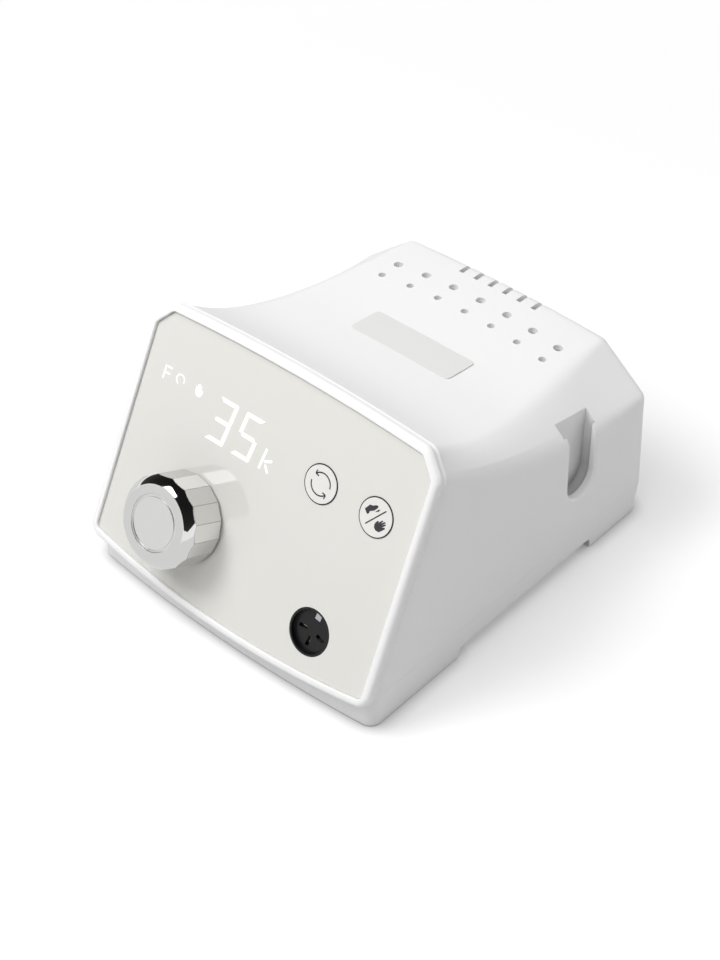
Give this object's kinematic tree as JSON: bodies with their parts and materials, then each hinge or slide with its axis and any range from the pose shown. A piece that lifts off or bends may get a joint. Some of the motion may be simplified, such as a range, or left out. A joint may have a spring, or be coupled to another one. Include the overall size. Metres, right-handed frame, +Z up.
{
  "type": "nail drill control unit",
  "caption": "Desktop control unit of an electric nail drill: sloping glossy display panel, faceted chrome speed knob, touch keys, round handpiece socket and vented white housing.",
  "frame": {"origin": "centre of the bounding box in X and Y, at the bottom of the rubber feet", "axes": "+Z up, +X to the right of a person who faces the panel, the panel faces -Y"},
  "size_m": [0.1326, 0.1679, 0.0982],
  "materials": {
    "white_abs": "moulded white ABS, satin gloss",
    "panel_gloss": "glossy warm light grey acrylic",
    "plate_grey": "satin light grey plate",
    "foot_rubber": "moulded rubber",
    "screw_steel": "zinc plated steel",
    "knob_chrome": "bright chrome plate",
    "insert_satin": "satin spun aluminium",
    "shaft_aluminium": "turned aluminium",
    "black_nylon": "moulded black nylon",
    "key_gloss": "glossy light grey key cap",
    "board_laminate": "green glass epoxy laminate",
    "display_black": "black display housing",
    "display_white": "white light diffuser",
    "ivory_nylon": "ivory nylon connector",
    "socket_black": "moulded black phenolic",
    "contact_brass": "plated brass contact",
    "ferrite": "pressed ferrite",
    "winding_tape": "taped winding",
    "capacitor_sleeve": "shrink sleeve",
    "fuse_glass": "glass fuse tube",
    "ribbon_pvc": "grey flat cable",
    "rocker_black": "glossy black rocker"
  },
  "bodies": {
    "housing": {"upper_shell": "white_abs", "base_tray": "white_abs", "front_frame": "white_abs", "front_panel": "panel_gloss", "top_plate": "plate_grey", "rubber_feet": "foot_rubber", "housing_screws": "screw_steel", "encoder_body": "black_nylon", "encoder_washer": "screw_steel", "encoder_nut": "screw_steel", "key_switches": "black_nylon", "control_board": "board_laminate", "display_module": "display_black", "display_diffuser": "display_white", "board_screws": "screw_steel", "board_connector": "ivory_nylon", "socket_housing": "socket_black", "socket_insulator": "socket_black", "socket_contacts": "contact_brass", "socket_shield": "screw_steel", "socket_screws": "screw_steel", "power_board": "board_laminate", "power_board_screws": "screw_steel", "transformer_core": "ferrite", "transformer_winding": "winding_tape", "filter_choke": "ferrite", "smoothing_capacitors": "capacitor_sleeve", "heatsink": "shaft_aluminium", "power_transistors": "black_nylon", "board_fuse": "fuse_glass", "ribbon_cable": "ribbon_pvc", "power_connector": "ivory_nylon", "mains_inlet": "socket_black", "inlet_pins": "contact_brass", "switch_housing": "socket_black", "switch_terminals": "contact_brass", "pedal_jack": "socket_black", "pedal_jack_nut": "screw_steel"},
    "knob_carrier": {"encoder_actuator": "black_nylon"},
    "knob": {"speed_knob": "knob_chrome", "knob_insert": "insert_satin", "encoder_shaft": "shaft_aluminium"},
    "direction_button": {"direction_key": "key_gloss", "direction_switch_stem": "black_nylon"},
    "mode_button": {"mode_key": "key_gloss", "mode_switch_stem": "black_nylon"},
    "rocker": {"power_rocker": "rocker_black"}
  },
  "joints": [
    {"name": "knob_push", "type": "slide", "parent": "housing", "child": "knob_carrier", "axis": [0, 0.8988, -0.4384], "range_m": [0, 0.0005], "stiffness_N_per_m": 8000},
    {"name": "knob_turn", "type": "hinge", "parent": "knob_carrier", "child": "knob", "pos_m": [-0.0265, -0.06262, 0.03602], "axis": [0, -0.8988, 0.4384], "continuous": true},
    {"name": "direction_key_press", "type": "slide", "parent": "housing", "child": "direction_button", "axis": [0, 0.8988, -0.4384], "range_m": [0, 0.0004], "stiffness_N_per_m": 5000},
    {"name": "mode_key_press", "type": "slide", "parent": "housing", "child": "mode_button", "axis": [0, 0.8988, -0.4384], "range_m": [0, 0.0004], "stiffness_N_per_m": 5000},
    {"name": "power_rocker_tilt", "type": "hinge", "parent": "housing", "child": "rocker", "pos_m": [0, 0.07868, 0.03399], "axis": [1, 0, 0], "range_deg": [0, 20]}
  ]
}
